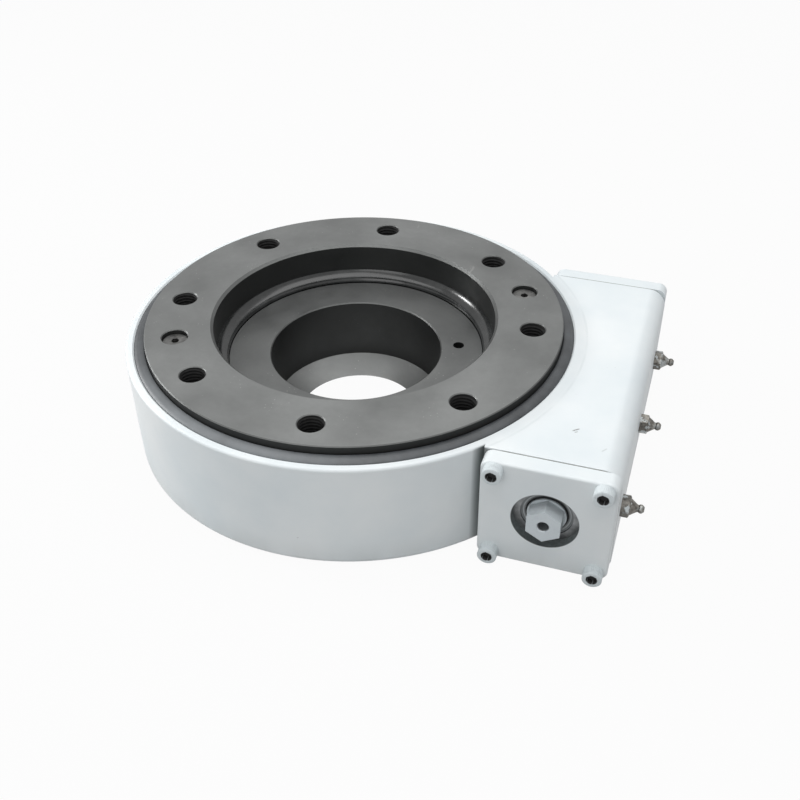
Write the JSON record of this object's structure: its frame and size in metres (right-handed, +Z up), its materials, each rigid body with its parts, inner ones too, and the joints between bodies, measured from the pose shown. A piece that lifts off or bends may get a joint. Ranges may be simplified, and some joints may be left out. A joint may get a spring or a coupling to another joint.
{
  "type": "slewing drive",
  "caption": "Enclosed worm-gear slewing drive: round barrel, flat rotating ring with tapped holes, fixed hub with central bore, side worm box with hexagon input shaft.",
  "frame": {"origin": "on the slewing axis, in the plane of the base", "axes": "+Z up along the slewing axis towards the ring's mounting face, +X from the slewing axis to the worm axis, the hexagon input faces -Y"},
  "size_m": [0.3076, 0.259, 0.0699],
  "materials": {
    "housing_paint": "satin, thick brushed coat over a casting",
    "painted_screws": "satin, same coat as the housing",
    "gasket": "matte",
    "ring_black_oxide": "black oxide, fine turned",
    "dark_fasteners": "black oxide",
    "seal_rubber": "smooth, oiled",
    "seal_case": "phosphated",
    "bearing_steel": "ground and polished",
    "spacer_nylon": "moulded",
    "worm_steel": "ground",
    "cage_steel": "pressed",
    "nipple_plate": "dull zinc plate"
  },
  "bodies": {
    "housing": {"housing": "housing_paint", "hub": "ring_black_oxide", "loading_plug": "ring_black_oxide", "loading_plug_pin": "dark_fasteners", "hub_screws": "dark_fasteners", "hub_dowels": "bearing_steel", "outer_seal": "seal_rubber", "front_cover": "housing_paint", "rear_cover": "housing_paint", "front_gasket": "gasket", "rear_gasket": "gasket", "front_cover_screws": "painted_screws", "rear_cover_screws": "painted_screws", "front_bearing_cup": "bearing_steel", "rear_bearing_cup": "bearing_steel", "shaft_seal_case": "seal_case", "shaft_seal_lip": "seal_rubber", "garter_spring": "bearing_steel", "grease_nipples": "nipple_plate", "nipple_balls": "bearing_steel"},
    "ring": {"slewing_ring": "ring_black_oxide", "ring_plugs": "dark_fasteners", "inner_seal": "seal_rubber"},
    "ball_train": {"raceway_balls": "bearing_steel", "ball_spacers": "spacer_nylon"},
    "worm": {"worm_shaft": "worm_steel", "front_bearing_cone": "bearing_steel", "rear_bearing_cone": "bearing_steel"},
    "front_roller_set": {"front_bearing_rollers": "bearing_steel", "front_bearing_cage": "cage_steel"},
    "rear_roller_set": {"rear_bearing_rollers": "bearing_steel", "rear_bearing_cage": "cage_steel"}
  },
  "joints": [
    {"name": "ring_turn", "type": "hinge", "parent": "housing", "child": "ring", "pos_m": [0, 0, 0.0315], "axis": [0, 0, 1], "continuous": true},
    {"name": "worm_turn", "type": "hinge", "parent": "housing", "child": "worm", "pos_m": [0.1327, 0, 0.032], "axis": [0, 1, 0], "continuous": true},
    {"name": "ball_train_turn", "type": "hinge", "parent": "housing", "child": "ball_train", "pos_m": [0, 0, 0.0315], "axis": [0, 0, 1], "continuous": true},
    {"name": "front_rollers_turn", "type": "hinge", "parent": "housing", "child": "front_roller_set", "pos_m": [0.1327, -0.0747, 0.032], "axis": [0, 1, 0], "continuous": true},
    {"name": "rear_rollers_turn", "type": "hinge", "parent": "housing", "child": "rear_roller_set", "pos_m": [0.1327, 0.0747, 0.032], "axis": [0, 1, 0], "continuous": true}
  ],
  "couplings": [
    {"joint": "worm_turn", "follows": "ring_turn", "ratio": -73},
    {"joint": "ball_train_turn", "follows": "ring_turn", "ratio": 0.5367},
    {"joint": "front_rollers_turn", "follows": "ring_turn", "ratio": -29.984},
    {"joint": "rear_rollers_turn", "follows": "ring_turn", "ratio": -29.984}
  ]
}
